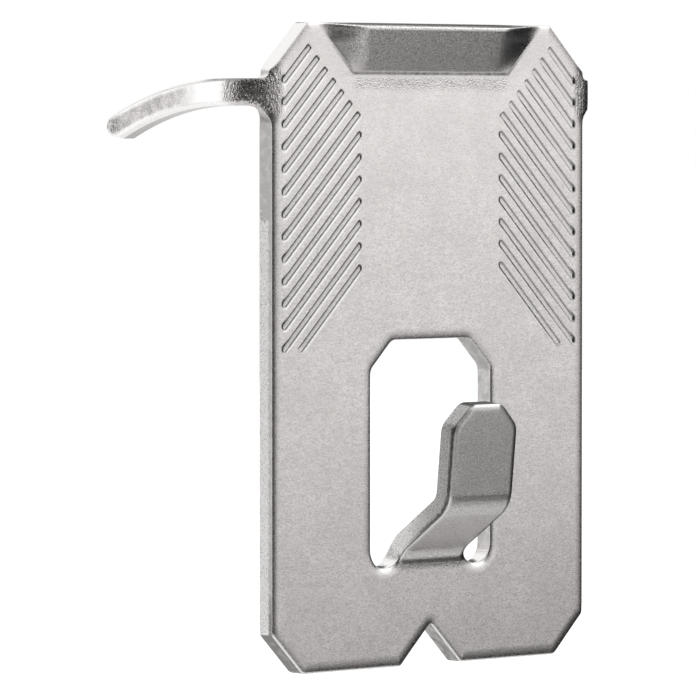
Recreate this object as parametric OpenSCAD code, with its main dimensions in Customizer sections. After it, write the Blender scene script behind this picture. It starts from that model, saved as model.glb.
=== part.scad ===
// Drywall picture hanger, stamped and bent from one piece of sheet steel.
// The wall face is the plane Y = 0 and the front faces -Y. The origin lies on
// the centre line of the wall face, level with the roots of the two prongs.

/* [Sheet] */
// Thickness of the steel sheet
sheet_t = 1.52; // [1.2:0.02:2]

/* [Back plate] */
// Width between the two side edges
plate_w = 32; // [26:0.25:40]
// Height from the bottom edge to the top edge
plate_h = 48; // [40:0.5:60]
// Cut-off of each upper corner, measured along either edge
top_corner = 3.55; // [2:0.05:4.2]
// Cut-off of each lower corner, measured along either edge
bottom_corner = 3; // [1:0.1:5]
// Mouth of the square V notch in the bottom edge
notch_w = 6.2; // [3:0.1:8]

/* [Window] */
// Width of the window that the hook is cut from
window_w = 12.4; // [11:0.1:16]
// Drop from the top edge of the plate to the top of the window
window_drop = 23.55; // [20:0.05:28]
// Rise from the bottom edge of the plate to the bottom of the window
window_rise = 7.4; // [6:0.1:10]
// Cut-off of each upper corner of the window
window_corner = 2.2; // [0.5:0.05:3.5]
// Rounding of the two bends in each of those corners
window_round = 0.9; // [0.2:0.1:1.2]

/* [Picture hook] */
// Width of the hook
hook_w = 6.5; // [5:0.1:8]
// Inside radius of the bend at the root
hook_root_r = 1.7; // [0.6:0.05:2.2]
// Inside radius of the bend below the upright end
hook_knee_r = 1; // [0.4:0.05:1.5]
// Slope of the slanted leg above the horizontal
hook_slope = 34.5; // [25:0.1:50]
// Forward lean of the upright end
hook_lean = 6; // [0:0.5:15]
// Clear depth from the plate to the foot of the upright end
hook_throat = 3.88; // [3:0.02:6]
// Height of the tip above the bottom of the window
hook_h = 12.4; // [10:0.1:16]
// Cut-off of each corner of the tip
hook_corner = 1.7; // [0.5:0.1:2.2]
// Rounding of the two bends in each of those corners
hook_round = 1.2; // [0.2:0.1:1.5]

/* [Prongs] */
// Drop from the top edge of the plate to the middle of the prong roots
prong_drop = 5.14; // [4.9:0.01:8]
// Height of the strip that each prong is made from
prong_w = 2; // [1.4:0.05:2.4]
// Inside radius of the square bend at the plate
prong_bend_r = 0.63; // [0.4:0.01:1.5]
// Reach of the tip behind the wall face
prong_reach = 14.85; // [12:0.05:18]
// Straight run behind the wall face before the prong curves down
prong_straight = 1.8; // [1.6:0.1:4]
// Radius of the downward curve, at the middle of the strip
prong_curve_r = 29; // [24:0.5:40]
// Rounding of the upper side of the tip
prong_nose_r = 0.8; // [0.5:0.05:0.95]
// Distance that the heel of the slanting end stands back from the nose
prong_heel = 0.35; // [0:0.05:0.6]
// Fillet under the root of the prong
prong_fillet_low = 1.1; // [0.4:0.05:1.4]
// Fillet above the root of the prong
prong_fillet_high = 0.5; // [0.2:0.05:0.55]

/* [Top lip] */
// Height from the bend line of the lip to the top edge of the plate
lip_h = 3.76; // [2.5:0.02:4.6]
// Forward lean of the lip
lip_lean = 11; // [3:0.5:15]
// Plain edge left between the lip and the cut-off corner of the plate
lip_margin = 0.68; // [0.3:0.02:1.5]
// Width over which each side of the lip rises from the plate to the full lean
lip_gusset = 5; // [3:0.1:7]
// Height that the drawing of the lip takes from its top edge
lip_draw = 0.25; // [0:0.05:0.5]

/* [Grip grooves] */
// Number of grooves on each side
groove_count = 14; // [6:1:14]
// Width of a groove
groove_w = 0.45; // [0.3:0.05:0.7]
// Depth of a groove
groove_depth = 0.15; // [0.05:0.01:0.3]
// Distance between neighbouring grooves, square to them
groove_pitch = 1.164; // [1:0.01:1.3]
// Distance from the cut-off corner to the middle of the first groove
groove_inset = 1.31; // [0.8:0.01:2]
// Distance from the side edge of the plate to the grooves
groove_side_gap = 1.03; // [0.6:0.01:2]
// Distance from the side of the lip to the grooves, square to it
groove_lip_gap = 1.58; // [1:0.01:2.5]
// Half of the plain middle band between the two fields of grooves
groove_inner_x = 7.17; // [6:0.01:9]
// Drop of the lowest groove end below the top of the window
groove_low = 0.7; // [0:0.05:2]

/* [Hidden] */
$fn = 96;

steel = [0.79, 0.78, 0.77];
cut = 0.5;

z_top = prong_drop;
z_bottom = z_top - plate_h;
half_w = plate_w / 2;

z_bend = z_top - lip_h;
lip_top_x = half_w - top_corner - lip_margin;
lip_root_x = lip_top_x - lip_h;

z_window = z_top - window_drop;
z_root = z_bottom + window_rise;
relief_r = (window_w - hook_w) / 4;
root_x = window_w / 2 - relief_r;

fillet_high = min(prong_fillet_high, z_top - top_corner - prong_w / 2);

lip_columns = 32;
lip_rows = 8;
bend_steps = 12;

// Points of an arc of radius r that rounds the corner at p between a and b
function corner_arc(a, p, b, r, steps = 6) =
    let (
        u = (a - p) / norm(a - p),
        v = (b - p) / norm(b - p),
        half = acos(u * v) / 2,
        axis = (u + v) / norm(u + v),
        centre = p + axis * r / sin(half),
        start = p + u * r / tan(half) - centre,
        end = p + v * r / tan(half) - centre,
        sweep = 180 - 2 * half
    )
    [for (i = [0 : steps])
        centre + (start * sin(sweep * (1 - i / steps)) + end * sin(sweep * i / steps)) / sin(sweep)];

// Offset of a corner between two faces with these outward normals, for a sheet of unit thickness
function mitre(m, n) = (m + n) / (1 + m * n);

// An outline's right half, closed by its mirror image
function mirrored(points) =
    concat(points, [for (i = [len(points) - 1 : -1 : 0]) [-points[i].x, points[i].y]]);

// Stands an outline drawn in X and Z up as a sheet, from the face at y towards the front
module sheet(y = 0, depth = sheet_t) {
    translate([0, y, 0])
        rotate([90, 0, 0])
            linear_extrude(depth)
                children();
}

module plate_outline() {
    right_half = [
        [notch_w / 2, z_bottom],
        [half_w - bottom_corner, z_bottom],
        [half_w, z_bottom + bottom_corner],
        [half_w, z_top - top_corner],
        [half_w - top_corner, z_top],
        [lip_top_x, z_top],
        [lip_root_x, z_bend]
    ];
    polygon(concat(mirrored(right_half), [[0, z_bottom + notch_w / 2]]));
}

// The window has cut-off upper corners and round lower ones
module window_outline() {
    side_x = window_w / 2;
    side = [side_x, z_root + relief_r];
    shoulder = [side_x, z_window - window_corner];
    brow = [side_x - window_corner, z_window];
    right_half = concat(
        [side],
        corner_arc(side, shoulder, brow, window_round),
        corner_arc(shoulder, brow, [0, z_window], window_round)
    );
    polygon(mirrored(right_half));
    translate([-root_x, z_root])
        square([2 * root_x, relief_r + cut]);
    for (side_sign = [-1, 1])
        translate([side_sign * root_x, z_root + relief_r])
            circle(r = relief_r);
}

// The left field of slanting grooves, cut off square at the limits of the field
module groove_field() {
    outer_x = -half_w + groove_side_gap;
    low_z = z_window - groove_low;
    corner_line = z_top + half_w - top_corner - sqrt(2) * (groove_inset - groove_w / 2);
    lip_line = z_top - lip_top_x - sqrt(2) * groove_lip_gap;
    middle_x = (lip_line - corner_line) / 2;
    intersection() {
        polygon([
            [outer_x, low_z],
            [-groove_inner_x, low_z],
            [-groove_inner_x, lip_line + groove_inner_x],
            [middle_x, lip_line - middle_x],
            [outer_x, corner_line + outer_x]
        ]);
        for (i = [0 : groove_count - 1])
            translate([-half_w + top_corner, z_top])
                rotate(45)
                    translate([-plate_h, -groove_inset - i * groove_pitch - groove_w / 2])
                        square([2 * plate_h, groove_w]);
    }
}

module back_plate() {
    color(steel)
        difference() {
            sheet()
                difference() {
                    plate_outline();
                    window_outline();
                }
            for (side_sign = [0, 1])
                mirror([side_sign, 0, 0])
                    sheet(groove_depth - sheet_t, groove_depth + cut)
                        groove_field();
        }
}

// A point of the lip: u runs from side to side, v from the bend line to the top edge.
// The sides stay in the plane of the plate, and the gussets blend into the leaning part.
function lip_point(u, v, back) =
    let (
        half = lip_root_x + v * lip_h,
        short = 1 - min(1, half * (1 - abs(u)) / lip_gusset),
        blend = 1 - short * short,
        rise = v * lip_h
    )
    [
        u * half,
        (back ? 0 : -sheet_t) - rise * tan(lip_lean) * blend,
        z_bend + rise + v * blend * ((back ? sheet_t * sin(lip_lean) : 0) - lip_draw)
    ];

module top_lip() {
    row = lip_columns + 1;
    layer = row * (lip_rows + 1);
    points = [for (back = [false, true], j = [0 : lip_rows], i = [0 : lip_columns])
        lip_point(2 * i / lip_columns - 1, j / lip_rows, back)];
    front_faces = [for (j = [0 : lip_rows - 1], i = [0 : lip_columns - 1])
        let (a = j * row + i)
        each [[a, a + row, a + 1], [a + 1, a + row, a + row + 1]]];
    back_faces = [for (f = front_faces) [f[2] + layer, f[1] + layer, f[0] + layer]];
    rim = concat(
        [for (i = [0 : lip_columns]) i],
        [for (j = [1 : lip_rows]) j * row + lip_columns],
        [for (i = [lip_columns - 1 : -1 : 0]) lip_rows * row + i],
        [for (j = [lip_rows - 1 : -1 : 1]) j * row]
    );
    rim_faces = [for (k = [0 : len(rim) - 1])
        let (a = rim[k], b = rim[(k + 1) % len(rim)])
        each [[a, b, b + layer], [a, b + layer, a + layer]]];
    color(steel)
        polyhedron(points, concat(front_faces, back_faces, rim_faces));
}

// The hook seen from the front: fillets at its root and rounded cut-off corners at its tip
module hook_outline() {
    z_tip = z_root + hook_h;
    half = hook_w / 2;
    side = [half, z_root];
    shoulder = [half, z_tip - hook_corner];
    brow = [half - hook_corner, z_tip];
    right_half = concat(
        [side],
        corner_arc(side, shoulder, brow, hook_round),
        corner_arc(shoulder, brow, [0, z_tip], hook_round)
    );
    difference() {
        union() {
            translate([-root_x, z_root])
                square([2 * root_x, relief_r]);
            polygon(mirrored(right_half));
        }
        for (side_sign = [-1, 1])
            translate([side_sign * root_x, z_root + relief_r])
                circle(r = relief_r);
    }
}

// The hook seen from its side, with Y to the right and Z up: the sheet bends out of
// the window, rises on a slant and bends up again
module hook_profile() {
    turn_out = 90 - hook_slope;
    root_outside_r = hook_root_r + sheet_t;
    knee_outside_r = hook_knee_r + sheet_t;
    plate_front = [-1, 0];
    slant_front = [-sin(hook_slope), -cos(hook_slope)];
    upright_front = [-cos(hook_lean), -sin(hook_lean)];
    root = [0, z_root];
    elbow = [0, z_root + root_outside_r * tan(turn_out / 2)];
    reach = hook_throat + sheet_t;
    foot = elbow + reach * [-1, tan(hook_slope)];
    tip = foot + hook_h * [-sin(hook_lean), cos(hook_lean)];
    front_root = root + sheet_t * plate_front;
    front_elbow = elbow + sheet_t * mitre(plate_front, slant_front);
    front_foot = foot + sheet_t * mitre(slant_front, upright_front);
    front_tip = tip + sheet_t * upright_front;
    polygon(concat(
        corner_arc(root, elbow, foot, root_outside_r, bend_steps),
        corner_arc(elbow, foot, tip, hook_knee_r, bend_steps),
        [tip, front_tip],
        corner_arc(front_tip, front_foot, front_elbow, knee_outside_r, bend_steps),
        corner_arc(front_foot, front_elbow, front_root, hook_root_r, bend_steps)
    ));
}

module picture_hook() {
    color(steel)
        intersection() {
            translate([-root_x, 0, 0])
                rotate([90, 0, 90])
                    linear_extrude(2 * root_x)
                        hook_profile();
            sheet(sheet_t, hook_throat + hook_h)
                hook_outline();
        }
}

// The left prong seen from its side: Y runs to the right and Z up
module prong_outline() {
    centre = [prong_straight, -prong_curve_r];
    upper_r = prong_curve_r + prong_w / 2;
    lower_r = prong_curve_r - prong_w / 2;
    sweep = asin((prong_reach - prong_nose_r - prong_straight) / (upper_r - prong_nose_r));
    outward = [sin(sweep), cos(sweep)];
    heel_sweep = sweep - prong_heel / lower_r * 180 / PI;
    nose = centre + (upper_r - prong_nose_r) * outward;
    heel = centre + lower_r * [sin(heel_sweep), cos(heel_sweep)];
    // The end is cut on a slant from the heel to the toe, where it meets the round nose
    slant = asin(prong_nose_r / norm(nose - heel));
    up_end = (nose - heel) / norm(nose - heel);
    past_end = [up_end.y, -up_end.x];
    toe = heel + norm(nose - heel) * cos(slant) * (cos(slant) * up_end + sin(slant) * past_end);
    translate([prong_bend_r, -prong_w / 2])
        square([prong_straight - prong_bend_r, prong_w]);
    intersection() {
        translate(centre)
            difference() {
                circle(r = upper_r);
                circle(r = lower_r);
            }
        polygon([centre, centre + [0, 2 * upper_r], centre + 2 * upper_r * outward, nose, heel]);
    }
    translate(nose)
        circle(r = prong_nose_r);
    polygon([nose, toe, heel]);
}

module prong_bend(low, high) {
    translate([-half_w, prong_bend_r, 0])
        rotate(180)
            rotate_extrude(angle = 90)
                translate([prong_bend_r, low])
                    square([sheet_t, high - low]);
}

// Fillet in the corner between the side edge of the plate and an edge of the prong
module prong_fillet(r, low) {
    edge_z = (low ? -1 : 1) * prong_w / 2;
    far_z = edge_z + (low ? -r : r);
    intersection() {
        prong_bend(min(edge_z, far_z), max(edge_z, far_z));
        sheet(prong_bend_r, sheet_t + prong_bend_r)
            difference() {
                translate([-half_w - r, min(edge_z, far_z)])
                    square(r);
                translate([-half_w - r, far_z])
                    circle(r = r);
            }
    }
}

module left_prong() {
    color(steel)
        union() {
            prong_bend(-prong_w / 2, prong_w / 2);
            prong_fillet(prong_fillet_low, true);
            prong_fillet(fillet_high, false);
            translate([-half_w - prong_bend_r - sheet_t, 0, 0])
                rotate([90, 0, 90])
                    linear_extrude(sheet_t)
                        prong_outline();
        }
}

module right_prong() {
    mirror([1, 0, 0])
        left_prong();
}

back_plate();
top_lip();
picture_hook();
left_prong();
right_prong();
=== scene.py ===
import math

import bpy
import numpy as np
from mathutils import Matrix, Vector
from mathutils.geometry import delaunay_2d_cdt


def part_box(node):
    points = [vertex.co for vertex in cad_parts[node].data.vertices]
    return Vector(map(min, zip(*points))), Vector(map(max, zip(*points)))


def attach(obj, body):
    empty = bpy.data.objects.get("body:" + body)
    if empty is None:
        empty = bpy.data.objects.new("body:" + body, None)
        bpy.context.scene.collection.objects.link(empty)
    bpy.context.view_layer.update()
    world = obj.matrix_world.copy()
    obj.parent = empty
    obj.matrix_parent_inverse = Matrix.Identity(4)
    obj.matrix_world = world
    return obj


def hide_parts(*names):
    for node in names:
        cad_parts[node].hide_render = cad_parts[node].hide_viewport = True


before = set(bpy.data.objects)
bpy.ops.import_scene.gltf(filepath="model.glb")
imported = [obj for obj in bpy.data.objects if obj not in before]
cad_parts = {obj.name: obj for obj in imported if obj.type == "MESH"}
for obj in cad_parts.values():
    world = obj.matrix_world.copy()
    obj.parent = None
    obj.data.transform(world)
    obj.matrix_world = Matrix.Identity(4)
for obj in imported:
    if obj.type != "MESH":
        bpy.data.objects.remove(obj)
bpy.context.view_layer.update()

# Back plate of the blank: a flat shield of sheet steel with cut-off corners, a notch below and a
# window in the middle. It is punched out together with everything that is later bent from it, so
# all outlines here are drawn in millimetres on the flat blank: right along X and up along Z.
MM = 0.001
plate_low, plate_high = [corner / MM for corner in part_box("back_plate")]
sheet_t = -plate_low.y
half_w = plate_high.x
top_z = plate_high.z
bottom_z = plate_low.z
top_corner = 3.55
bottom_corner = 3.0
notch_depth = 3.1
notch_r = 0.3
corner_r = 0.45
bottom_corner_r = 0.9
longest_rounding = 0.8

# Deeper edge of the foot, and the painted highlight on its rim
foot_top = bottom_z + bottom_corner + 1
foot_fade = 1.5
foot_rim_w = 0.12
foot_rim_full = 0.3
foot_rim_facing = (-0.15, -0.65)


def unit(vector):
    """The vector at a length of 1."""
    return vector / np.linalg.norm(vector)


def rounded(corners, steps=6):
    """Points of a closed outline through these corners, each a place and the radius that rounds it."""
    points = []
    for i, (x, z, radius) in enumerate(corners):
        here = np.array([x, z])
        if radius == 0:
            points.append(here)
            continue
        before = np.array(corners[i - 1][:2]) - here
        after = np.array(corners[(i + 1) % len(corners)][:2]) - here
        room = longest_rounding * min(np.linalg.norm(before), np.linalg.norm(after))
        before, after = unit(before), unit(after)
        half = math.acos(before @ after) / 2
        radius = min(radius, room * math.tan(half))
        middle = here + unit(before + after) * radius / math.sin(half)
        for share in np.linspace(0, 1, steps + 1):
            towards = (1 - share) * before + share * after
            points.append(middle + radius * unit(here + towards * radius / math.tan(half) - middle))
    return points


def arc(middle, radius, first, last, steps):
    """Corners along an arc between two angles in degrees."""
    angles = np.radians(np.linspace(first, last, steps + 1))
    return [(middle[0] + radius * math.cos(a), middle[1] + radius * math.sin(a), 0) for a in angles]


def mirrored(right_half):
    """A closed outline from the corners of its right half."""
    return right_half + [(-x, z, r) for x, z, r in reversed(right_half) if x > 0]


def between(value, low, high):
    """A smooth step from 0 at the low value to 1 at the high one, which may also lie below it.

    The pairs of values in each section are such a low and high one.
    """
    share = np.clip((value - low) / (high - low), 0, 1)
    return share * share * (3 - 2 * share)


def beside(gap, width, full=0.2):
    """1 on a rim along the cut edge, up to this full share of its width, and 0 a width further in."""
    return between(gap / width, 1 + full, full)


def foot_share(x, z):
    """1 along the foot of the plate, where the edge is rolled deeper."""
    return between(z, foot_top, foot_top - foot_fade)


def foot_highlight(z, gap, way_z):
    """1 on the painted highlight along the rim of the foot, by the gap to the cut edge and how far up
    the way there goes.
    """
    below = between(way_z, *foot_rim_facing) * (z < bottom_z + bottom_corner)
    return below * beside(gap, foot_rim_w, foot_rim_full)


# Picture hook: a tongue of the same sheet, left standing in the window between two round-ended relief
# slots. It bends forward at its root, rises on a slant and bends up again at its knee, and its tip has
# cut-off corners.
hook_low, hook_high = [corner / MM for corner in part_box("picture_hook")]
root_z = hook_low.z
root_half = hook_high.x
window_half = 6.2
window_top = top_z - 23.55
window_corner = 2.2
window_r = 0.9
relief_r = window_half - root_half
hook_half = root_half - relief_r
hook_slope = math.radians(34.5)
hook_lean = math.radians(6)
hook_throat = 3.88
hook_root_r = 1.7
hook_knee_r = 1.0
hook_corner = 1.7
hook_corner_r = 1.2


def bent(along, deep, runs):
    """Lays a strip out along these runs, each a length and the angle that it turns towards the back.

    Returns how far each point then lies ahead of the strip's root, and how far behind its front face.
    """
    ahead = np.minimum(along, 0)
    behind = np.full_like(along, sheet_t / 2)
    angle = np.zeros_like(along)
    turned = 0
    start = 0
    for length, turn in runs:
        part = np.clip(along - start, 0, length)
        if turn == 0:
            ahead = ahead + part * math.cos(turned)
            behind = behind + part * math.sin(turned)
        else:
            radius = length / turn
            here = turned + part / radius
            ahead = ahead + radius * (np.sin(here) - math.sin(turned))
            behind = behind - radius * (np.cos(here) - math.cos(turned))
            angle = angle + part / radius
        turned += turn
        start += length
    off = deep - sheet_t / 2
    return ahead - off * np.sin(angle), behind + off * np.cos(angle)


turn_out = math.pi / 2 - hook_slope
turn_up = turn_out - hook_lean
hook_slant = (
    (hook_throat + sheet_t) / math.cos(hook_slope)
    - (hook_root_r + sheet_t) * math.tan(turn_out / 2)
    - hook_knee_r * math.tan(turn_up / 2)
)
root_bend = turn_out * (hook_root_r + sheet_t / 2)
knee_bend = turn_up * (hook_knee_r + sheet_t / 2)
hook_runs = [
    (root_bend, -turn_out),
    (hook_slant, 0),
    (knee_bend, turn_up),
    (hook_high.z - root_z, 0),
]
knee = root_bend + hook_slant
upright = knee + knee_bend
upright_foot = bent(np.array([upright]), np.array([sheet_t / 2]), hook_runs)[0][0]
hook_length = upright + (hook_high.z - root_z - upright_foot) / math.cos(hook_lean)


def hook_shape(x, z, deep):
    """Where these places of the blank lie on the bent hook, at this depth below its front face."""
    ahead, behind = bent(z - root_z, deep, hook_runs)
    return np.stack([x, behind - sheet_t, root_z + ahead], -1)


tip_z = root_z + hook_length
window = mirrored(
    [
        (hook_half - hook_corner, tip_z, hook_corner_r),
        (hook_half, tip_z - hook_corner, hook_corner_r),
    ]
    + arc((root_half, root_z + relief_r), relief_r, 180, 360, steps=24)
    + [
        (window_half, window_top - window_corner, window_r),
        (window_half - window_corner, window_top, window_r),
    ]
)

# Deeper edge of the relief slots, and the painted highlight on the rim below them
slot_edge_rise = 1.0
slot_edge_w = 1.3
slot_edge_drop = 1.6
slot_rim_w = 0.45
slot_rim_half = window_half + 1
slot_rim_facing = (0.4, 11 / 15)

# Stretched skin at the root and the knee
root_skin = 0.6
root_skin_start = (-0.5, -0.1)
root_skin_end = (0.6, 0.1)
root_skin_sides = (hook_half + 0.6, hook_half - 0.2)
knee_skin = 0.55
knee_skin_start = (knee, knee + 0.6)
knee_skin_end = (upright + 0.9, upright)

# Painted shade along the crease at the root, and painted dark and bright rims above it
root_dark = 0.6
root_dark_rise = 0.05
root_dark_w = 0.15
root_dark_sides = (hook_half + 0.5, hook_half)
rim_low = root_z + 0.5
rim_high = tip_z + 0.1
rim_sideways = 0.3
rim_upwards = 0.5
left_dark_w = 0.1
right_dark_w = 0.5
hook_glint_w = 0.25
hook_glint_share = 0.9


def slot_share(x, z):
    """1 around the relief slots, where the edge is rolled a little deeper."""
    near = (np.abs(x) < window_half + slot_edge_w) & (z > root_z - slot_edge_drop)
    return between(z, root_z + slot_edge_rise, root_z) * near


def slot_highlight(x, z, gap, way_z):
    """1 on the painted highlight along the rim below the relief slots."""
    under = (z < root_z) & (z > root_z - slot_edge_drop) & (np.abs(x) < slot_rim_half)
    return between(way_z, *slot_rim_facing) * under * beside(gap, slot_rim_w)


def hook_share(x, z):
    """1 on the hook, whose edge is rolled narrower and deeper than the plate's."""
    return between(z, root_z, root_z + relief_r) * (np.abs(x) < root_half) * (z < tip_z)


def hook_stretch(x, z):
    """How far bending has stretched the skin of the hook, at its root and at its knee."""
    up = z - root_z
    at_root = between(up, *root_skin_start) * between(up, *root_skin_end)
    at_root = at_root * between(np.abs(x), *root_skin_sides)
    at_knee = between(up, *knee_skin_start) * between(up, *knee_skin_end) * (np.abs(x) < root_half)
    return np.maximum(root_skin * at_root, knee_skin * at_knee)


def hook_rim(x, z):
    """Whether each place is on the part of the hook that has painted dark and bright rims."""
    return (np.abs(x) < root_half) & (z > rim_low) & (z < rim_high)


def hook_lines(x, z, gap, way_x):
    """Painted shade on the hook: dark lines along the crease at its root and its two rims."""
    off = (z - root_z - root_dark_rise) / root_dark_w
    crease = root_dark * np.exp(-off ** 2) * between(np.abs(x), *root_dark_sides)
    left = hook_rim(x, z) * (way_x < -rim_sideways) * beside(gap, left_dark_w)
    right = hook_rim(x, z) * (way_x > rim_sideways) * beside(gap, right_dark_w)
    return np.maximum.reduce([crease, left, right])


def hook_glint(x, z, gap, way_x, way_z):
    """The painted highlight on the rim along the hook's left side and its tip."""
    lit = hook_rim(x, z) & ((way_x < -rim_sideways) | (way_z > rim_upwards))
    return hook_glint_share * lit * beside(gap, hook_glint_w)


# Prongs: two strips of the same sheet that leave the sides of the plate, bend square towards the wall
# and curve down, with a round nose to find its way through the board and fillets at the plate.
prong_low, prong_high = [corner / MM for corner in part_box("left_prong")]
prong_reach = prong_high.y
prong_half = 1.0
prong_straight = 1.8
prong_curve_r = 29.0
prong_nose_r = 0.8
prong_heel = 0.35
prong_heel_r = 0.25
fillet_low = 1.3
fillet_high = 0.45
fillet_corner_r = 0.3

prong_start = 0.5
prong_start_turn = math.radians(3)
prong_lead = 0.7
prong_lead_turn = math.radians(13)
prong_bend_turn = math.radians(68)
prong_ease = 2.4
prong_ease_turn = math.radians(6)

lead_end = prong_start_turn + prong_lead_turn
lead_width = prong_start / prong_start_turn * math.sin(prong_start_turn)
lead_width += prong_lead / prong_lead_turn * (math.sin(lead_end) - math.sin(prong_start_turn))
ease_width = prong_ease / prong_ease_turn * (1 - math.cos(prong_ease_turn))
bend_share = math.cos(prong_ease_turn) - math.sin(lead_end)
bend_start = half_w - prong_start - prong_lead
prong_middle_r = (-prong_low.x - sheet_t / 2 - bend_start - lead_width - ease_width) / bend_share
prong_bend = prong_bend_turn * prong_middle_r
prong_runs = [
    (prong_start, prong_start_turn),
    (prong_lead, prong_lead_turn),
    (prong_bend, prong_bend_turn),
    (prong_ease, prong_ease_turn),
    (2 * prong_reach, 0),
]


def prong_shape(x, z, deep):
    """Where these places of the blank lie on the bent prongs."""
    ahead, behind = bent(np.abs(x) - bend_start, deep, prong_runs)
    return np.stack([np.sign(x) * (bend_start + ahead), behind - sheet_t, z], -1)


bend_end = half_w + prong_bend
bend_end_y = prong_shape(np.array([bend_end]), np.zeros(1), np.array([sheet_t / 2]))[0, 1]
curve_x = bend_end + prong_straight - bend_end_y
upper_r = prong_curve_r + prong_half
lower_r = prong_curve_r - prong_half
nose_turn = math.asin((prong_reach - prong_nose_r - prong_straight) / (upper_r - prong_nose_r))
nose = (
    curve_x + (upper_r - prong_nose_r) * math.sin(nose_turn),
    (upper_r - prong_nose_r) * math.cos(nose_turn) - prong_curve_r,
)
heel_angle = 90 - math.degrees(nose_turn - prong_heel / lower_r)
nose_angle = 90 - math.degrees(nose_turn)
lower_edge = arc((curve_x, -prong_curve_r), lower_r, 90, heel_angle, steps=24)
upper_edge = arc((curve_x, -prong_curve_r), upper_r, nose_angle, 90, steps=24)
heel = lower_edge.pop()[:2] + (prong_heel_r,)
heel_x, heel_z = heel[0] - nose[0], heel[1] - nose[1]
toe_angle = math.atan2(heel_z, heel_x) + math.acos(prong_nose_r / math.hypot(heel_x, heel_z))
nose_edge = arc(nose, prong_nose_r, math.degrees(toe_angle), nose_angle, steps=20)
prong_edge = lower_edge + [heel] + nose_edge[:-1] + upper_edge

outline = mirrored(
    [
        (0, bottom_z + notch_depth, notch_r),
        (notch_depth, bottom_z, corner_r),
        (half_w - bottom_corner, bottom_z, bottom_corner_r),
        (half_w, bottom_z + bottom_corner, corner_r),
        (half_w, -prong_half, fillet_low),
    ]
    + prong_edge
    + [
        (half_w, prong_half, fillet_high),
        (half_w, top_z - top_corner, fillet_corner_r),
        (half_w - top_corner, top_z, corner_r),
    ]
)

# Narrow edge of the prongs, and the sharp one over the right bend
nose_edge_more = 0.4
right_bend_fade = 0.6
right_bend_end = (bend_end + 1.5, bend_end + 0.5)

# Stretched skin over the bends and at the noses
prong_skin_start = (bend_start, bend_start + 0.7)
prong_skin_end = (bend_end + 1, bend_end + 0.3)
prong_skin_height = (1.9, 1.2)
nose_skin_start = (nose[0] - 1.4, nose[0] + 0.6)

# Painted shade over the right bend and along the upper rims, and painted highlights on the rims and
# behind the bends
bend_dark = 0.75
bend_dark_lead = 0.2
upper_rim_dark = 0.8
upper_rim_w = 0.25
upper_rim_facing = (0.5, 5 / 6)
upper_rim_start = (half_w, half_w + 1)
upper_rim_end = (bend_end + 3.5, bend_end + 2)
highlight_rim_w = 0.4
highlight_rim_full = 0.4
highlight_start = (bend_end - 0.3, bend_end + 0.7)
highlight_bend_start = (bend_end - 0.3, bend_end + 1.2)
highlight_bend_end = (bend_end + 7, bend_end + 1.5)


def prong_share(x, z):
    """1 on the prongs, and a little more at their noses, where the edge is narrow and deep."""
    more = 1 + nose_edge_more * between(np.abs(x), curve_x, nose[0])
    return between(np.abs(x), half_w, bend_end) * more


def right_bend(x, z, lead=0):
    """1 over the right prong's bend, where the edge is pulled sharp."""
    start = half_w - lead
    return between(x, start, start + right_bend_fade) * between(x, *right_bend_end)


def prong_stretch(x, z):
    """How far the skin of the prongs has stretched, over their bends and at their noses."""
    off = np.abs(x)
    at_bend = between(off, *prong_skin_start) * between(off, *prong_skin_end)
    at_bend = at_bend * between(np.abs(z), *prong_skin_height)
    return np.maximum(at_bend, between(off, *nose_skin_start))


def prong_lines(x, z, gap, way_z):
    """Painted shade on the prongs: dark lines over the right one's bend, and along the upper rims of
    both.
    """
    off = np.abs(x)
    upper_rim = beside(gap, upper_rim_w) * between(way_z, *upper_rim_facing)
    upper_rim = upper_rim * between(off, *upper_rim_start) * between(off, *upper_rim_end)
    return np.maximum(bend_dark * right_bend(x, z, bend_dark_lead), upper_rim_dark * upper_rim)


def prong_glint(x, gap):
    """1 where the prongs carry a painted highlight, along their rims and behind their bends."""
    off = np.abs(x)
    at_bend = between(off, *highlight_bend_start) * between(off, *highlight_bend_end)
    return np.maximum(beside(gap, highlight_rim_w, highlight_rim_full), at_bend) * between(off, *highlight_start)


# Top lip: the middle of the top edge is drawn forward over a bend line, between two gussets that
# stay joined to the plate along slanting sides.
lip_low, lip_high = [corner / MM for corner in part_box("top_lip")]
lip_z = lip_low.z
lip_h = top_z - lip_z
lip_top_half = lip_high.x
lip_root_half = lip_top_half - lip_h
lip_lean = math.radians(11)
lip_bend = 0.1
lip_gusset = 1.5
lip_gusset_spread = 0.9
lip_gusset_curve = 1.6
lip_crease = 0.03
lip_crease_more = 0.35
lip_crease_rise = (2.4, 3.6)
lip_draw = 0.25
prong_hold = 2.6
prong_hold_height = (prong_hold, prong_hold - 1.2)
prong_hold_start = (half_w, half_w + 0.4)


def plate_shape(x, z, deep):
    """Where these places of the blank lie once the lip is drawn and the prongs are bent.

    The hold is how far a place follows the bend of the prongs and not the flat of the plate.
    """
    off = np.abs(x)
    rise = z - lip_z
    leaning = np.maximum(rise + lip_bend, 0)
    gusset = lip_gusset + lip_gusset_spread * np.maximum(rise, 0)
    inward = np.clip((lip_root_half + rise - off) / gusset, 0, 1)
    crease = lip_crease + lip_crease_more * between(rise, *lip_crease_rise)
    inward = (np.hypot(inward, crease) - crease) / (np.hypot(1, crease) - crease)
    blend = 1 - np.maximum(1 - inward, 0) ** lip_gusset_curve
    ramp = np.where(rise < lip_bend, leaning ** 2 / (4 * lip_bend), rise)
    ramp = np.where(rise > -lip_bend, ramp, 0)
    share = np.clip(rise / lip_h, 0, 1) * blend
    drawn = np.stack([
        x,
        deep - sheet_t - ramp * math.tan(lip_lean) * blend,
        z + share * (deep * math.sin(lip_lean) - lip_draw),
    ], -1)
    hold = np.maximum(between(np.abs(z), *prong_hold_height), between(off, *prong_hold_start))
    hold = hold * (off > bend_start)
    return drawn + hold[:, None] * (prong_shape(x, z, deep) - np.stack([x, deep - sheet_t, z], -1))
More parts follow.
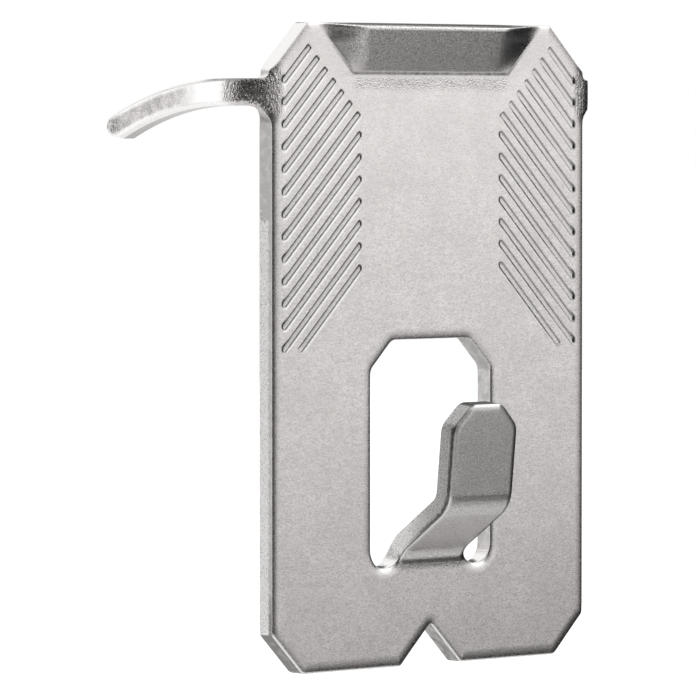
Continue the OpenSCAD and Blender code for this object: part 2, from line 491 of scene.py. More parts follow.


# Narrow edge of the lip, stretched skin below it and painted shade along the crease around it
slope = math.sqrt(0.5)
lip_edge_start = (top_z - 1.2, top_z - 0.6)
lip_edge_sides = (lip_top_half, lip_top_half - 1)
lip_skin_start = (-1.6, -0.8)
lip_skin_end = (-0.05, -0.35)
lip_skin_sides = (lip_root_half + 0.4, lip_root_half - 0.6)
lip_dark_rise = 0.04
lip_dark_w = 0.13
lip_dark_side_w = 0.18
lip_dark_end = (top_z - 0.9, top_z - 1.6)


def lip_share(x, z):
    """1 along the top of the lip, whose edge is rolled much narrower."""
    return between(z, *lip_edge_start) * between(np.abs(x), *lip_edge_sides)


def lip_stretch(x, z):
    """How far the skin of the plate has stretched below the lip."""
    rise = z - lip_z
    below = between(rise, *lip_skin_start) * between(rise, *lip_skin_end)
    return below * between(np.abs(x), *lip_skin_sides)


def lip_lines(x, z):
    """1 along the painted shade on the crease around the lip, fading to 0 beside it and where the lip
    meets the top edge.
    """
    rise = z - lip_z - lip_dark_rise
    outside = (np.abs(x) - lip_root_half - rise) * slope
    off = np.maximum(-rise / lip_dark_w, outside / lip_dark_side_w)
    return np.exp(-off ** 2) * between(z, *lip_dark_end)


# Grip grooves: two mirrored fields of slanting grooves, coined into the front of the plate on both
# sides of the lip and down to the top of the window. The limits of a field cut its grooves off.
groove_count = 14
groove_w = 0.45
groove_depth = 0.09
groove_end_r = 0.16
groove_pitch = 1.164
groove_inset = 1.31
groove_outer_x = half_w - 1.03
groove_inner_x = 7.17
groove_low_z = window_top - 0.7
groove_lip_gap = 1.58
groove_wall = (-0.04, 0.07)

# Painted shade along the walls and ends of the grooves, and painted highlights on the plate below them
upper_reach_left, upper_reach_right = 0.15, 0.12
upper_dark_left, upper_dark_right = 1.3, 0.9
lower_dark = 1.1
lower_dark_from, lower_dark_to = 0.02, 0.2
lower_dark_fade = 0.7
lower_dark_fade_x = (half_w - 5, half_w - 2)
end_dark = 1.3
end_dark_from, end_dark_to = 0.02, 0.2
end_margin = 0.1
glint_from, glint_to = 0.14, 0.28
glint_left, glint_right = 1, 0.4
glint_low = (groove_low_z - 0.1, groove_low_z)


def groove_limits(number):
    """Limits of one groove of the left field, each a direction and the reach along it."""
    corner_reach = slope * (half_w - top_corner + top_z)
    middle = corner_reach - groove_inset - number * groove_pitch
    return [
        ((-1, 0), groove_outer_x),
        ((1, 0), -groove_inner_x),
        ((0, -1), -groove_low_z),
        ((slope, slope), slope * (top_z - lip_top_half) - groove_lip_gap),
        ((-slope, slope), middle + groove_w / 2),
        ((slope, -slope), groove_w / 2 - middle),
    ]


def convex_area(limits, inset):
    """Corners of the area that lies further than the inset inside all limits."""
    far = 100
    corners = [np.array(c) for c in ((-far, -far), (far, -far), (far, far), (-far, far))]
    for direction, limit in limits:
        kept = []
        for here, following in zip(corners, corners[1:] + corners[:1]):
            room_here = limit - inset - here @ direction
            room_following = limit - inset - following @ direction
            if room_here >= 0:
                kept.append(here)
            if room_here * room_following < 0:
                kept.append(here + (following - here) * room_here / (room_here - room_following))
        corners = kept
    return corners


def nearest(points, starts, ends):
    """Distance of each point from the nearest of these segments, and the way to it."""
    run = ends - starts
    offset = points[:, None, :] - starts
    share = np.clip(np.sum(offset * run, 2) / np.sum(run * run, 1), 0, 1)
    gap = share[:, :, None] * run - offset
    size = np.linalg.norm(gap, axis=2)
    best = np.argmin(size, 1)
    rows = np.arange(len(points))
    return size[rows, best], gap[rows, best]


def groove_share(x, z):
    """How far down the wall of a groove each place lies, from 0 on the plate to 1 on the floor."""
    points = np.stack([-np.abs(x), z], -1)
    share = np.zeros_like(x)
    for number in range(groove_count):
        limits = groove_limits(number)
        room = np.min([limit - points @ way for way, limit in limits], axis=0)
        core = np.array(convex_area(limits, groove_end_r))
        close = room > -2 * groove_end_r
        inside = room[close]
        gap = nearest(points[close], core, np.roll(core, -1, 0))[0]
        inside = np.where(inside < groove_end_r, groove_end_r - gap, inside)
        share[close] = np.maximum(share[close], between(inside, *groove_wall))
    return share


def groove_lines(x, z, coined):
    """Painted shade in the grooves: dark lines on their upper and lower walls and at the ends that face
    out.
    """
    on_right = x > 0
    reach = np.where(on_right, upper_reach_right, upper_reach_left)
    upper = coined * np.clip(groove_share(x, z - reach) - groove_share(x, z + reach), 0, 1)
    upper = np.where(on_right, upper_dark_right, upper_dark_left) * upper
    right = np.clip(groove_share(x, z + lower_dark_to) - groove_share(x, z + lower_dark_from), 0, 1)
    right = right * (1 - lower_dark_fade * between(x, *lower_dark_fade_x))
    half_down = (4 * coined * (1 - coined)) ** 2
    lower = np.where(on_right, right, half_down)
    off = np.abs(x)
    inner_end = on_right & (x < groove_inner_x + end_margin)
    outer_end = off > groove_outer_x - end_margin
    outward = 1 * outer_end - 1 * inner_end
    end = groove_share(off - end_dark_to * outward, z) - groove_share(off + end_dark_from * outward, z)
    return np.maximum.reduce([upper, lower_dark * lower, end_dark * end])


def groove_glint(x, z):
    """The painted highlight: a bright line on the plate below each groove."""
    below = np.clip(groove_share(x, z + glint_to) - groove_share(x, z + glint_from), 0, 1)
    return below * np.where(x > 0, glint_right, glint_left) * between(z, *glint_low)


# Pressing: the blank is divided into triangles that follow its rolled edges, its grooves and the
# lines it is bent along. Each piece is then the part of the blank that its own bend lines bound.
roll_rows = np.radians([0, 12, 24, 36, 50, 64, 78, 90])
edge_w = 0.9
edge_depth = 0.1

# Where the rolled edge differs, and what is added to its width and its depth there
edge_changes = [
    (prong_share, -0.45, 0.22),
    (slot_share, -0.1, 0.06),
    (hook_share, -0.35, 0.07),
    (lip_share, -0.65, -0.02),
    (foot_share, 0, 0.06),
    (right_bend, -0.2, -0.15),
]

back_r = 0.08
least_r = 0.02
spacing = 0.7
places = []
lines = []


def roll(x, z):
    """Width and depth of the rolled edge near these places of the blank."""
    width, depth = edge_w, edge_depth
    for share_of, wider, deeper in edge_changes:
        share = share_of(x, z)
        width = width + wider * share
        depth = depth + deeper * share
    return width, depth


def draw(points, closed=False):
    """Lines that the triangles follow, through these points."""
    first = len(places)
    places.extend(np.array(point) for point in points)
    ends = range(first, len(places) if closed else len(places) - 1)
    lines.extend((i, i + 1 if i + 1 < len(places) else first) for i in ends)


def dot_row(z, half, count):
    """A row of places across the blank, where triangles need to be small without a line."""
    places.extend(np.array([x, z]) for x in np.linspace(-half, half, count))


def moved_in(corners, share):
    """The corners of an outline, moved into the metal by this share of the rolled edge's width."""
    moved = []
    for i, (x, z, radius) in enumerate(corners):
        here = np.array([x, z])
        before = unit(here - corners[i - 1][:2])
        after = unit(corners[(i + 1) % len(corners)][:2] - here)
        size = share * roll(x, z)[0]
        left = np.array([-before[1] - after[1], before[0] + after[0]])
        here = here + left * size / (1 + before @ after)
        turns_left = before[0] * after[1] > before[1] * after[0]
        if radius > 0:
            radius = max(radius - size if turns_left else radius + size, least_r)
        moved.append((*here, radius))
    return moved


def divided(points):
    """A closed outline with no two points further apart than the spacing."""
    dense = []
    for here, following in zip(points, points[1:] + points[:1]):
        count = max(1, math.ceil(np.linalg.norm(following - here) / spacing))
        dense.extend(here + (following - here) * k / count for k in range(count))
    return np.array(dense)


# Rows down the rolled edges of the outline and the window
loops = []
for corners in (outline, window[::-1]):
    rows = [divided(rounded(moved_in(corners, 1 - math.cos(angle)))) for angle in roll_rows]
    loops.append(rows[0])
    for row in rows:
        draw(row, closed=True)

# Rings around the grooves, down their walls and on their floors
wall_rows = np.linspace(*groove_wall, 6)
groove_rows = [-0.24, -0.18, -0.13, -0.09, -0.06, *wall_rows, 0.09, 0.13]
for number in range(groove_count):
    for inset in groove_rows:
        area = convex_area(groove_limits(number), inset)
        ring = divided(rounded([(x, z, max(groove_end_r - inset, 0)) for x, z in area], steps=4))
        for side in (1, -1):
            draw(ring * (side, 1), closed=True)

# Lines across the bends of the prongs, and rows along their strips
bend_line_x = [*np.linspace(bend_start, bend_end + 1, 28), half_w]
strip_x = np.linspace(bend_end + 1.3, nose[0] - 0.2, 36)
strip_rows = (-0.45, -0.15, 0.15, 0.45)
for side in (1, -1):
    for x in bend_line_x:
        draw([(side * x, -prong_hold), (side * x, prong_hold)])
    for x in strip_x:
        sag = prong_curve_r - math.sqrt(prong_curve_r ** 2 - max(x - curve_x, 0) ** 2)
        places.extend(np.array([side * x, off - sag]) for off in strip_rows)

# Lines across both bends of the hook
bend_steps = 15
root_line_z = root_z + np.linspace(0, root_bend, bend_steps)
knee_line_z = root_z + knee + np.linspace(0, knee_bend, bend_steps)
for z in (*root_line_z, *knee_line_z):
    draw([(-root_half, z), (root_half, z)])

# Lines along the crease of the lip
diagonal = math.sqrt(2)
crease_offsets = (-0.15, -0.1, -0.05, 0, 0.05, 0.1, 0.15)
for offset in crease_offsets:
    crease_half = lip_root_half + (diagonal - 1) * offset
    crease_top_half = lip_top_half + diagonal * offset
    draw([
        (-crease_top_half, top_z),
        (-crease_half, lip_z - offset),
        (crease_half, lip_z - offset),
        (crease_top_half, top_z),
    ])

# Rows where the skin is stretched below the lip and the hook's root, and on the face of the lip
lip_row_step = 0.2
lip_row_margin = 0.3
below_lip = np.arange(lip_z - 1.8, lip_z - 0.2, lip_row_step)
below_root = np.arange(root_z - 0.7, root_z, 0.15)
lip_face = np.arange(lip_z + lip_row_margin, top_z - lip_row_margin, lip_row_step)
for z in below_lip:
    dot_row(z, lip_root_half + 0.5, count=60)
for z in below_root:
    dot_row(z, root_half, count=40)
for z in lip_face:
    dot_row(z, lip_root_half + z - lip_z - lip_row_margin, count=80)

whole_hull = 0
merge_gap = 1e-5
least_area = 1e-9
least_size = 1e-12
corners = [Vector(point) for point in places]
blank, _, triangles, *_ = delaunay_2d_cdt(corners, lines, [], whole_hull, merge_gap)
blank = np.array([point[:] for point in blank])
triangles = np.array(triangles)
edge_from = np.concatenate(loops)
edge_to = np.concatenate([np.roll(loop, -1, 0) for loop in loops])


def inside_blank(points):
    """Whether each point lies inside the outline and outside the window."""
    x, z = points.T[:, :, None]
    (ax, az), (bx, bz) = edge_from.T, edge_to.T
    spans = (az > z) != (bz > z)
    run = np.where(bz == az, 1, bz - az)
    return np.sum(spans & (x < ax + (z - az) * (bx - ax) / run), 1) % 2 == 1


triangles = triangles[inside_blank(blank[triangles].mean(1))]
first_side, second_side = (blank[triangles[:, k]] - blank[triangles[:, 0]] for k in (1, 2))
turn = first_side[:, 0] * second_side[:, 1] - first_side[:, 1] * second_side[:, 0]
triangles = np.where((turn > 0)[:, None], triangles, triangles[:, ::-1])[np.abs(turn) > least_area]


def open_edges(faces):
    """The edges that only one of these triangles has."""
    seen = {}
    for a, b in np.concatenate([faces[:, [0, 1]], faces[:, [1, 2]], faces[:, [2, 0]]]).tolist():
        key = (min(a, b), max(a, b))
        seen[key] = None if key in seen else (a, b)
    return {key: edge for key, edge in seen.items() if edge}


cut_edges = open_edges(triangles)
outward = np.zeros_like(blank)
for a, b in cut_edges.values():
    way = unit(blank[b] - blank[a])
    for i in (a, b):
        outward[i] += (way[1], -way[0])

distance, towards_edge = nearest(blank, edge_from, edge_to)
on_edge = np.any(outward != 0, 1)
distance[on_edge] = 0
towards_edge[on_edge] = outward[on_edge]
towards_edge /= np.maximum(np.linalg.norm(towards_edge, axis=1), least_size)[:, None]


def edge_profile(gap, width, depth):
    """Drop of a rounded edge, and its normal's parts towards the edge and out of the face."""
    cosine = np.clip(1 - gap / width, 0, 1)
    sine = np.sqrt(1 - cosine ** 2)
    return depth * (1 - sine), cosine / width, sine / depth


def put(name, data):
    """A new object in the scene that holds this mesh, lamp or camera."""
    thing = bpy.data.objects.new(name, data)
    bpy.context.scene.collection.objects.link(thing)
    return thing


# The last two skins carry the painted shade lines and the painted highlights.
skin_names = ("stretched_across", "stretched_upward", "sheared", "painted_shade_lines", "painted_highlight")
plain_skin = (0, 0, 0, 0, 0)
sheared_skin = (0, 0, 1, 0, 0)
back_skin_share = (0.4, 0.4, 0, 0, 0)
shape_step = 0.002
groove_step = 0.001


def press(name, chosen, shape):
    """The closed piece that the chosen triangles of the blank become when it takes this shape."""
    used, faces = np.unique(triangles[chosen], return_inverse=True)
    faces = faces.reshape(-1, 3)
    count = len(used)
    x, z = blank[used].T
    gap = distance[used]
    way_x, way_z = towards_edge[used].T

    def placed(deep, slant):
        """Places at this depth, and the normals of a face whose slant is given on the flat blank."""
        columns = []
        for shift_x, shift_z, shift_deep in np.eye(3) * shape_step:
            above = shape(x + shift_x, z + shift_z, deep + shift_deep)
            below = shape(x - shift_x, z - shift_z, deep - shift_deep)
            columns.append((above - below) / (2 * shape_step))
        inverse = np.linalg.inv(np.stack(columns, -1))
        normal = np.einsum("ni,nij->nj", slant, inverse)
        return shape(x, z, deep), normal / np.linalg.norm(normal, axis=1)[:, None]

    coined = groove_share(x, z)
    fall_x = groove_share(x + groove_step, z) - groove_share(x - groove_step, z)
    fall_z = groove_share(x, z + groove_step) - groove_share(x, z - groove_step)
    groove_x = groove_depth * fall_x / (2 * groove_step)
    groove_z = groove_depth * fall_z / (2 * groove_step)
    drop, out, face = edge_profile(gap, *roll(x, z))
    slant = np.stack([out * way_x + face * groove_x, out * way_z + face * groove_z, -face], -1)
    front, front_normal = placed(drop + groove_depth * coined, slant)

    drop, out, face = edge_profile(gap, back_r, back_r)
    slant = np.stack([out * way_x, out * way_z, face], -1)
    back, back_normal = placed(sheet_t - drop, slant)

    across = np.maximum(lip_stretch(x, z), hook_stretch(x, z))
    # Painted shade lines and painted highlights, stored as attributes for the material.
    painted_shade_lines = np.maximum.reduce([
        groove_lines(x, z, coined),
        lip_lines(x, z),
        hook_lines(x, z, gap, way_x),
        prong_lines(x, z, gap, way_z),
    ])
    painted_highlight = np.maximum.reduce([
        prong_glint(x, gap),
        foot_highlight(z, gap, way_z),
        slot_highlight(x, z, gap, way_z),
        hook_glint(x, z, gap, way_x, way_z),
        groove_glint(x, z),
    ])
    front_skin = np.stack([across, prong_stretch(x, z), np.zeros(count), painted_shade_lines, painted_highlight], -1)
    back_skin = front_skin * back_skin_share

    polygons = []
    normals = []
    skin = []
    for a, b, c in faces.tolist():
        polygons.append((a, b, c))
        normals.extend(front_normal[[a, b, c]])
        skin.extend(front_skin[[a, b, c]])
        polygons.append((c + count, b + count, a + count))
        normals.extend(back_normal[[c, b, a]])
        skin.extend(back_skin[[c, b, a]])
    for a, b in open_edges(faces).values():
        polygons.append((a, a + count, b + count, b))
        ends = used[a], used[b]
        if (min(ends), max(ends)) in cut_edges:
            normals.extend((front_normal[a], back_normal[a], back_normal[b], front_normal[b]))
            skin.extend((plain_skin, sheared_skin, sheared_skin, plain_skin))
        else:
            flat = np.cross(back[a] - front[a], back[b] - front[a])
            normals.extend([flat / max(np.linalg.norm(flat), least_size)] * 4)
            skin.extend([plain_skin] * 4)

    mesh = bpy.data.meshes.new(name)
    mesh.from_pydata((np.concatenate([front, back]) * MM).tolist(), [], polygons)
    mesh.shade_smooth()
    for skin_name, values in zip(skin_names, np.array(skin, np.float32).T):
        mesh.attributes.new(skin_name, "FLOAT", "CORNER").data.foreach_set("value", values.copy())
    mesh.normals_split_custom_set(normals)
    mesh.validate(clean_customdata=False)
    return put(name, mesh)


# Plating: the finish of the whole stamping, bright plated steel that was tumbled to a fine grain. It
# is rougher where bending has stretched its skin, with painted highlights on rims and painted shade
# along creases.
class Wire:
    """An output of a node. Sums, differences and products of wires and numbers add Math nodes."""

    def __init__(self, tree, socket=None):
        self.tree = tree
        self.socket = socket

    def node(self, kind, settings, inputs, output=0):
        """A new node of this kind, with its settings first and then its sockets' values or links."""
        made = self.tree.nodes.new("ShaderNode" + kind)
        for name, value in settings.items():
            setattr(made, name, value)
        for name, value in inputs.items():
            if isinstance(value, Wire):
                self.tree.links.new(value.socket, made.inputs[name])
            else:
                made.inputs[name].default_value = value
        return Wire(self.tree, made.outputs[output] if made.outputs else None)

    def maths(self, operation, first, second):
        return self.node("Math", {"operation": operation}, {0: first, 1: second})

    def __add__(self, other):
        return self.maths("ADD", self, other)

    __radd__ = __add__

    def __sub__(self, other):
        return self.maths("SUBTRACT", self, other)

    def __rsub__(self, other):
        return self.maths("SUBTRACT", other, self)

    def __mul__(self, other):
        return self.maths("MULTIPLY", self, other)

    __rmul__ = __mul__

    def __abs__(self):
        return self.node("Math", {"operation": "ABSOLUTE"}, {0: self})

    def greatest(self, other):
        return self.maths("MAXIMUM", self, other)

    def between(self, low, high):
        """0 below the low value, 1 above the high one and a smooth step between them."""
        settings = {"interpolation_type": "SMOOTHSTEP"}
        return self.node("MapRange", settings, {"Value": self, "From Min": low, "From Max": high})


def empty_nodes(owner):
    """The cleared node tree of a material or world."""
    owner.use_nodes = True
    owner.node_tree.nodes.clear()
    return Wire(owner.node_tree)


steel = bpy.data.materials.new("plated_steel")
plating = empty_nodes(steel)
place = plating.node("TexCoord", {}, {}, "Object")
facing = plating.node("NewGeometry", {}, {}, "True Normal")


def noise(per_mm, detail, stretch=(1, 1, 1)):
    """Noise of this many waves a millimetre, drawn out along the axes whose stretch is below 1."""
    drawn = plating.node("VectorMath", {"operation": "MULTIPLY"}, {0: place, 1: stretch})
    return plating.node("TexNoise", {}, {"Vector": drawn, "Scale": per_mm / MM, "Detail": detail})


def part_of(vector, axis):
    """One axis of a vector."""
    return plating.node("SeparateXYZ", {}, {"Vector": vector}, axis)


def blended(share, first, second):
    """The first colour, giving way to the second as the share goes from 0 to 1."""
    return plating.node("Mix", {"data_type": "RGBA"}, {"Factor": share, 6: first, 7: second}, 2)


across, upward, sheared, painted_shade_lines, painted_highlight = (
    plating.node("Attribute", {"attribute_name": name}, {}, "Fac") for name in skin_names
)
rightward = part_of(place, "X") * (1 / MM)
sideways = abs(rightward)
forward = part_of(place, "Y") * (-1 / MM)
height_up = part_of(place, "Z") * (1 / MM)
upness = part_of(facing, "Z")
sideness = abs(part_of(facing, "X"))
behind_wall = (-2, -4)
top_facing = (0.8, 0.95)
behind = forward.between(*behind_wall)
facing_up = upness.between(*top_facing) * (1 - behind)

# Torn walls are rough behind the burnished strip: on the hook, along the top and on the sides below
# the prongs.
side_tear = 1.1
side_tear_top = (-7.6, -8.0)
side_tear_waver = 3
side_tear_x = (half_w - 1.8, half_w - 1.4)
side_tear_facing = (0.85, 0.95)
top_tear = 1.15
hook_tear = 1.25
hook_tear_x = (hook_half + 0.3, hook_half + 0.1)
hook_tear_start = (root_z - 0.2, root_z + 0.4)
hook_tear_end = (window_top - 1, window_top - 2)
untorn = 1.3
tear_waver = 0.5
tear_fade = 0.25
side_waves = noise(per_mm=2.5, detail=3)
tear_waves = noise(per_mm=4, detail=3)
on_sides = (height_up + side_tear_waver * side_waves).between(*side_tear_top)
on_sides = on_sides * sideways.between(*side_tear_x) * sideness.between(*side_tear_facing)
on_hook = sideways.between(*hook_tear_x) * height_up.between(*hook_tear_start)
on_hook = on_hook * height_up.between(*hook_tear_end)
tear_start = untorn - (side_tear * on_sides).greatest(top_tear * facing_up) - hook_tear * on_hook
torn = (sheared + tear_waver * tear_waves - tear_waver / 2 - tear_start).between(0, tear_fade)

# Burnished walls are smooth and dull, where the punch has rubbed them. Their dark colour is also
# painted shade: it is kept off walls that face up and is darker at the foot.
cut_start = (0.0, 0.04)
burnish_facing = (0.5, 0.2)
burnish_top = (1.4, 0.8)
cut = sheared.between(*cut_start)
burnish_and_shade = cut * (1 - torn) * upness.between(*burnish_facing) * (1 - behind)
burnish_and_shade = burnish_and_shade * height_up.between(*burnish_top)

light_grey = (0.76, 0.73, 0.72, 1)
warm_grey = (0.7, 0.671, 0.662, 1)
grain_grey = (0.48, 0.46, 0.453, 1)
bright_grey = (0.93, 0.92, 0.91, 1)
burnished_grey = (0.33, 0.323, 0.32, 1)
foot_shade_grey = (0.19, 0.187, 0.18, 1)
dark_fleck_grey = (0.3, 0.293, 0.29, 1)
underside_shade_grey = (0.42, 0.41, 0.4, 1)
speckle_grey = (0.5, 0.49, 0.48, 1)
shadow_grey = (0.06, 0.06, 0.06, 1)

# The tumbled face has a mottle and a grain that runs across, calmer towards the top.
sideways_grain = (0.4, 1, 1)
middle_waves = (0.35, 0.65)
low_waves = (0.7, 0.3)
top_calm = 0.4
top_calm_rise = (-14, 2)
grain_dark = 0.7
streak_dark = 0.3
mottle = noise(per_mm=0.35, detail=3)
grain = noise(per_mm=12, detail=2, stretch=sideways_grain)
streaks = noise(per_mm=5, detail=2, stretch=sideways_grain)
grain_share = grain_dark * grain.between(*low_waves) + streak_dark * streaks.between(*low_waves)
grain_share = (1 - top_calm * height_up.between(*top_calm_rise)) * grain_share
grey = blended(mottle.between(*middle_waves), warm_grey, light_grey)
grey = blended(grain_share, grey, grain_grey)

# The hook and the lip, which stand proud of the plate, are speckled.
proud = (sheet_t + 0.03, sheet_t + 0.28)
hook_speckle = 0.4
lip_speckle_more = 0.3
lip_speckle_rise = (-2, 0)
speckle_waves = noise(per_mm=10, detail=2)
speckle = blended(speckle_waves.between(*middle_waves), bright_grey, dark_fleck_grey)
speckle_share = hook_speckle + lip_speckle_more * height_up.between(*lip_speckle_rise)
grey = blended(forward.between(*proud) * speckle_share, grey, speckle)

# The prongs are darker and mottled behind the plate, and dark specks over their bends and noses are
# painted shade.
prong_dark_reach = (-2, -6)
prong_dark_base = 0.2
prong_dark_patches = 0.4
prong_dark_specks = 0.4
prong_dark_speck_waves = (0.4, 0.6)
painted_bend_specks = 0.8
painted_bend_speck_waves = (0.45, 0.55)
speck_noise = noise(per_mm=7, detail=2)
patches = noise(per_mm=1.2, detail=3).between(*middle_waves)
prong_darkening = prong_dark_base + prong_dark_patches * patches + prong_dark_specks * speck_noise.between(*prong_dark_speck_waves)
grey = blended(forward.between(*prong_dark_reach) * prong_darkening, grey, dark_fleck_grey)
grey = blended(painted_bend_specks * behind * upward * speck_noise.between(*painted_bend_speck_waves), grey, shadow_grey)

# Painted highlights: bright rims and lines on the prongs, the foot, below the relief slots, on the hook
# and below the grooves.
grey = blended(painted_highlight, grey, bright_grey)

# The cut walls: plate grey on the prongs with painted shade on their undersides, a painted highlight
# where they face up, dull where burnished and darker at the foot as painted shade, bright flecks where
# torn.
underside_facing = (-0.2, -0.6)
ledge_facing = (0.3, 0.6)
foot_rise = (bottom_z + 6.86, bottom_z + 3.86)
burnish_base = 0.45
burnish_patches = 0.5
burnish_patch_waves = (0.3, 0.7)
burnish_sides = 0.3
burnish_sides_x = (half_w - 8, half_w - 4)
fleck_waves = (-0.18, 0.0)
tear = noise(per_mm=8, detail=3) - 0.5
burnish_waves = noise(per_mm=1.6, detail=4)
prong_wall = blended(upness.between(*underside_facing), light_grey, underside_shade_grey)
grey = blended(cut * behind, grey, prong_wall)
grey = blended(cut * upness.between(*ledge_facing), grey, bright_grey)
burnish_and_foot_shade = blended(height_up.between(*foot_rise), burnished_grey, foot_shade_grey)
burnish_share = burnish_base + burnish_patches * burnish_waves.between(*burnish_patch_waves)
burnish_share = burnish_share + burnish_sides * sideways.between(*burnish_sides_x)
grey = blended(burnish_and_shade * burnish_share, grey, burnish_and_foot_shade)
grey = blended(torn, grey, blended(tear.between(*fleck_waves), speckle_grey, bright_grey))

# Painted shade: dark lines along the creases, the groove walls, the hook's rims and the prongs' right
# bend and upper rims, broken by noise.
painted_line_dark = 0.9
painted_line_base = 0.5
painted_line_breaks = 0.8
broken = painted_line_base + painted_line_breaks * noise(per_mm=3, detail=2)
# Torn walls that face up, except behind the plate, are painted dark as shade as well.
grey = blended((torn * facing_up).greatest(painted_line_dark * painted_shade_lines * broken), grey, shadow_grey)

# Stretched skin has an orange peel, and the rest of the relief is too fine for the mesh as well.
grain_h = 0.002 * MM
across_peel_h = 0.045 * MM
upward_peel_h = 0.09 * MM
tear_h = 0.08 * MM
across_peel = noise(per_mm=8.5, detail=2, stretch=(0.6, 1, 1)) - 0.5
upward_peel = noise(per_mm=6.5, detail=2, stretch=(1, 1, 0.5)) - 0.5
relief = (
    grain_h * grain
    + across_peel_h * (across_peel * across)
    + upward_peel_h * (upward_peel * upward)
    + tear_h * (tear * torn)
)

# The hook is a little rougher than the plate, and the lip's right gusset a little smoother.
gusset_rise = (lip_z - 0.2, lip_z + 0.4)
gusset_x = (5, 8)
gusset_forward = (sheet_t + 0.02, sheet_t + 0.18)
on_right_gusset = height_up.between(*gusset_rise) * rightward.between(*gusset_x)
on_right_gusset = on_right_gusset * forward.between(*gusset_forward)
face_rough = 0.25
grain_rough = 0.06
tear_rough = 0.1
hook_rough = 0.07
hook_rough_forward = (sheet_t + 0.78, sheet_t + 1.68)
gusset_smooth = 0.05
roughness = face_rough + grain_rough * grain + tear_rough * torn
roughness = roughness + hook_rough * forward.between(*hook_rough_forward)
roughness = roughness - gusset_smooth * on_right_gusset
bump = plating.node("Bump", {}, {"Height": relief, "Strength": 1.0, "Distance": 1.0})
shader = plating.node("BsdfPrincipled", {}, {
    "Base Color": grey,
    "Metallic": 1.0,
    "Roughness": roughness,
    "Normal": bump,
})
plating.node("OutputMaterial", {}, {"Surface": shader})

# The five pieces, each the region of the blank that its own bend lines bound. The plate doesn't mirror
# the hook.
middle_x, middle_z = blank[triangles].mean(1).T
is_prong = np.abs(middle_x) > half_w
is_hook = (np.abs(middle_x) < root_half) & (middle_z > root_z) & (middle_z < tip_z)
is_lip = (middle_z > lip_z) & (np.abs(middle_x) < lip_root_half + middle_z - lip_z)
regions = {
    "back_plate": (~(is_prong | is_hook | is_lip), plate_shape),
    "top_lip": (is_lip, plate_shape),
    "picture_hook": (is_hook, hook_shape),
    "left_prong": (is_prong & (middle_x < 0), plate_shape),
    "right_prong": (is_prong & (middle_x > 0), plate_shape),
}
for name, (chosen, shape) in regions.items():
    piece = press("steel_" + name, chosen, shape)
    piece.data.materials.append(steel)
    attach(piece, "root")
    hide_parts(name)
    piece.visible_glossy = name != "picture_hook"

# Studio: a pale floor far below, a white surround, soft boxes, and cards that stand out of sight
# around the part, so that the metal has something to mirror. Its sizes are in metres.
floor_z = -0.35
floor_half = 6.0
floor_white = (0.92, 0.92, 0.92, 1)
floor_glow = 0.3
floor_glow_mirrored = 0.2
white = (1, 1, 1, 1)
floor_mesh = bpy.data.meshes.new("floor")
floor_corners = ((-1, -1), (1, -1), (1, 1), (-1, 1))
floor_points = [(floor_half * x, floor_half * y, floor_z) for x, y in floor_corners]
floor_mesh.from_pydata(floor_points, [], [(0, 1, 2, 3)])
put("floor", floor_mesh)
pale = bpy.data.materials.new("pale_floor")
floor_mesh.materials.append(pale)
paint = empty_nodes(pale)
seen = paint.node("LightPath", {}, {}, "Is Camera Ray")
seen_mirrored = paint.node("LightPath", {}, {}, "Is Glossy Ray")
matt = paint.node("BsdfDiffuse", {}, {"Color": floor_white})
strength = floor_glow * seen + floor_glow_mirrored * seen_mirrored
glow = paint.node("Emission", {}, {"Color": white, "Strength": strength})
both = paint.node("AddShader", {}, {0: matt, 1: glow})
paint.node("OutputMaterial", {}, {"Surface": both})


def around(azimuth, radius, height):
    """A place at this azimuth in degrees, seen from the part, where 0 is straight in front."""
    angle = math.radians(azimuth)
    return Vector((radius * math.sin(angle), -radius * math.cos(angle), height))


felt_tint = (1, 0.96, 0.93)
card_steps = 16


def card(name, azimuths, heights, shade, radius=0.4):
    """A curved felt card between two azimuths and two heights, of this shade of grey."""
    felt = bpy.data.materials.new(name)
    fibres = empty_nodes(felt)
    matt = fibres.node("BsdfDiffuse", {}, {"Color": (*(shade * tint for tint in felt_tint), 1)})
    fibres.node("OutputMaterial", {}, {"Surface": matt})
    points = [
        around(azimuth, radius, height)
        for azimuth in np.linspace(*azimuths, card_steps + 1)
        for height in heights
    ]
    mesh = bpy.data.meshes.new(name)
    mesh.from_pydata(points, [], [(2 * i, 2 * i + 2, 2 * i + 3, 2 * i + 1) for i in range(card_steps)])
    mesh.materials.append(felt)
    sheet = put(name, mesh)
    sheet.visible_camera = False


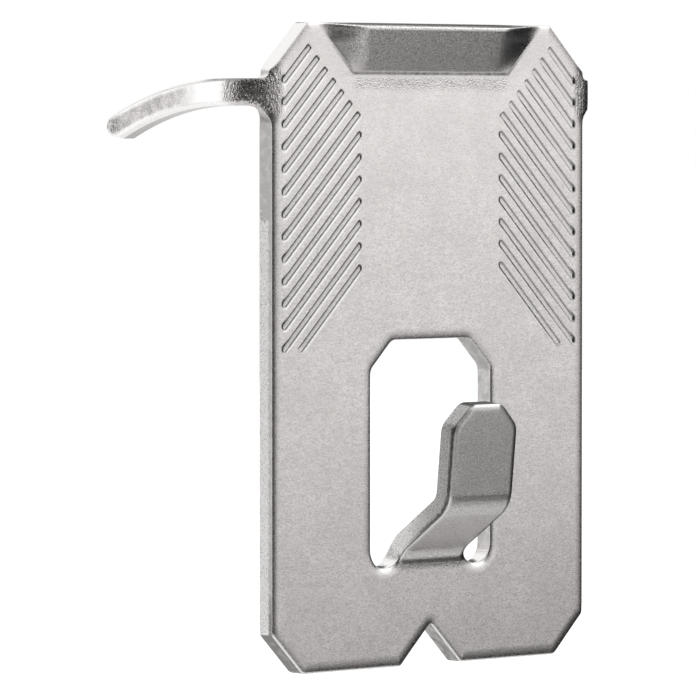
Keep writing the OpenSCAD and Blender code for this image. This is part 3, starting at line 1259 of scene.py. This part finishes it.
card("camera_card", azimuths=(-127, -10), heights=(-0.14, 0.5), shade=0.06)
card("low_camera_card", azimuths=(-10, 31), heights=(-0.14, 0.14), shade=0.03)
card("right_card", azimuths=(54, 98), heights=(-0.06, 0.09), shade=0.005)
card("low_right_card", azimuths=(50, 98), heights=(-0.28, -0.06), shade=0.005)
card("far_right_card", azimuths=(98, 135), heights=(-0.16, 0.4), shade=0.02, radius=0.8)
card("low_card", azimuths=(39, 50), heights=(-0.145, -0.066), shade=0.2)
card("dark_low_card", azimuths=(39, 50), heights=(-0.3, -0.145), shade=0.02)
card("low_left_card", azimuths=(20, 39), heights=(-0.3, -0.16), shade=0.08)
card("left_card", azimuths=(-166, -147), heights=(-0.15, 0.3), shade=0.95)


def soft_box(name, azimuth, heights, width, radiance, radius=0.6):
    """An upright soft box that faces the part and shines with this radiance."""
    low, high = heights
    light = bpy.data.lights.new(name, "AREA")
    light.shape = "RECTANGLE"
    light.size = width
    light.size_y = high - low
    light.energy = radiance * math.pi * width * (high - low)
    box = put(name, light)
    box.location = around(azimuth, radius, (low + high) / 2)
    box.rotation_mode = "QUATERNION"
    box.rotation_quaternion = around(azimuth, -1, 0).to_track_quat("-Z", "Y")


soft_box("front_box", azimuth=43.5, heights=(-0.12, 0.4), width=0.34, radiance=0.36)
soft_box("top_box", azimuth=43.5, heights=(0.14, 0.55), width=0.34, radiance=1.05, radius=0.59)
soft_box("back_box", azimuth=-137, heights=(-0.12, 0.4), width=0.2, radiance=0.6)
soft_box("edge_strip", azimuth=33, heights=(-0.2, -0.1), width=0.05, radiance=0.5)

world = bpy.data.worlds.new("studio")
bpy.context.scene.world = world
surround = empty_nodes(world)
back_light = surround.node("Background", {}, {"Color": white, "Strength": 1.0})
surround.node("OutputWorld", {}, {"Surface": back_light})

camera_aim = Vector((-7.119, 0, -18.982)) * MM
camera_azimuth = math.radians(-42.734)
camera_elevation = math.radians(2.026)
camera_away = 463.05 * MM
camera = put("camera", bpy.data.cameras.new("camera"))
camera.data.sensor_width = 36
camera.data.lens = 322.2
to_camera = Vector((
    math.sin(camera_azimuth) * math.cos(camera_elevation),
    -math.cos(camera_azimuth) * math.cos(camera_elevation),
    math.sin(camera_elevation),
))
camera.location = camera_aim + camera_away * to_camera
camera.rotation_mode = "QUATERNION"
camera.rotation_quaternion = (-to_camera).to_track_quat("-Z", "Y")
bpy.context.scene.camera = camera
bpy.context.scene.view_settings.view_transform = "Standard"
